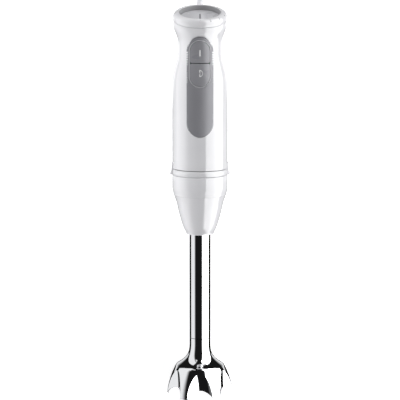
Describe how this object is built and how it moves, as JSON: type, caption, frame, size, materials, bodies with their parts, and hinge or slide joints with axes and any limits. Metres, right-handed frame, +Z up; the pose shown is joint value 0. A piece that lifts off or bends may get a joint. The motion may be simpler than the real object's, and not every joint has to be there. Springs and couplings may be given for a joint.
{
  "type": "immersion blender",
  "caption": "Stick blender with a white handle, grey grip with two buttons, tilted speed dial, pull-off steel shaft and a scalloped blade bell; mains cord folded in a tied hank.",
  "frame": {"origin": "on the table, under the middle of the blender's own box, without its cord", "axes": "+Y along the blender from the bell to the dial, +Z up from the table through the buttons, +X to the right seen from above with the dial away"},
  "size_m": [0.0859, 0.6075, 0.063],
  "materials": {
    "white_gloss": "gloss moulded ABS",
    "grey_grip": "satin grey moulded plastic",
    "dial_face": "satin light grey plastic",
    "polished_steel": "mirror polished stainless steel",
    "machined_steel": "machined steel",
    "core_iron": "lacquered laminations",
    "winding_copper": "enamelled copper winding",
    "brass_metal": "bright brass",
    "nickel_pins": "nickel plated brass",
    "black_moulding": "black moulded nylon",
    "black_rubber": "soft black rubber",
    "cord_sheath": "white flexible sheath"
  },
  "bodies": {
    "handle": {"housing": "white_gloss", "grip_panel": "grey_grip", "dial_disc": "dial_face", "dial_deck": "black_moulding", "speed_sensor": "black_moulding", "control_board": "black_moulding", "on_switch": "black_moulding", "turbo_switch": "black_moulding", "stator": "core_iron", "field_coil_left": "winding_copper", "field_coil_right": "winding_copper", "lower_bearing": "machined_steel", "upper_bearing": "machined_steel", "lower_bracket": "black_moulding", "upper_bracket": "black_moulding", "brush_holder_left": "brass_metal", "brush_holder_right": "brass_metal", "carbon_brush_left": "black_moulding", "carbon_brush_right": "black_moulding", "motor_bolt_front": "machined_steel", "motor_bolt_back": "machined_steel", "handle_end_ring": "white_gloss", "spigot_seal": "black_rubber", "release_spring": "machined_steel", "strain_relief": "cord_sheath", "power_cord": "cord_sheath", "cord_tail": "cord_sheath", "cord_hank": "cord_sheath", "hank_tie": "black_rubber", "plug_body": "cord_sheath", "plug_pin_left": "nickel_pins", "plug_pin_right": "nickel_pins"},
    "dial": {"dial_ring": "white_gloss"},
    "on_key": {"on_button": "grey_grip"},
    "turbo_key": {"turbo_button": "grey_grip"},
    "left_release": {"release_button_left": "white_gloss"},
    "right_release": {"release_button_right": "white_gloss"},
    "rotor": {"armature": "winding_copper", "commutator": "winding_copper", "motor_shaft": "machined_steel", "cooling_fan": "black_moulding", "drive_dog": "black_moulding"},
    "shaft_unit": {"shaft_collar": "white_gloss", "shaft_tube": "polished_steel", "upper_bush": "black_moulding", "lower_bush": "black_moulding", "shaft_seal": "black_rubber", "bell": "polished_steel"},
    "blade_drive": {"drive_rod": "machined_steel", "drive_coupling": "black_moulding", "blade_hub": "machined_steel", "blade": "machined_steel", "blade_nut": "machined_steel"}
  },
  "joints": [
    {"name": "dial_turn", "type": "hinge", "parent": "handle", "child": "dial", "pos_m": [0, 0.18196, 0.03589], "axis": [0, 0.9522, 0.3054], "range_deg": [0, 270]},
    {"name": "on_press", "type": "slide", "parent": "handle", "child": "on_key", "axis": [0, 0.0136, -0.9999], "range_m": [0, 0.0016], "stiffness_N_per_m": 800},
    {"name": "turbo_press", "type": "slide", "parent": "handle", "child": "turbo_key", "axis": [0, 0.0136, -0.9999], "range_m": [0, 0.0016], "stiffness_N_per_m": 800},
    {"name": "left_release_press", "type": "slide", "parent": "handle", "child": "left_release", "axis": [1, 0, 0], "range_m": [0, 0.002], "stiffness_N_per_m": 900},
    {"name": "right_release_press", "type": "slide", "parent": "handle", "child": "right_release", "axis": [-1, 0, 0], "range_m": [0, 0.002], "stiffness_N_per_m": 900},
    {"name": "shaft_pull", "type": "slide", "parent": "handle", "child": "shaft_unit", "axis": [0, -0.9999, -0.0136], "range_m": [0, 0.05]},
    {"name": "motor_spin", "type": "hinge", "parent": "handle", "child": "rotor", "pos_m": [0, 0.05437, 0.03415], "axis": [0, 0.9999, 0.0136], "continuous": true},
    {"name": "blade_spin", "type": "hinge", "parent": "shaft_unit", "child": "blade_drive", "pos_m": [0, -0.09562, 0.03211], "axis": [0, 0.9999, 0.0136], "continuous": true}
  ],
  "couplings": [
    {"joint": "blade_spin", "follows": "motor_spin", "ratio": 1}
  ]
}
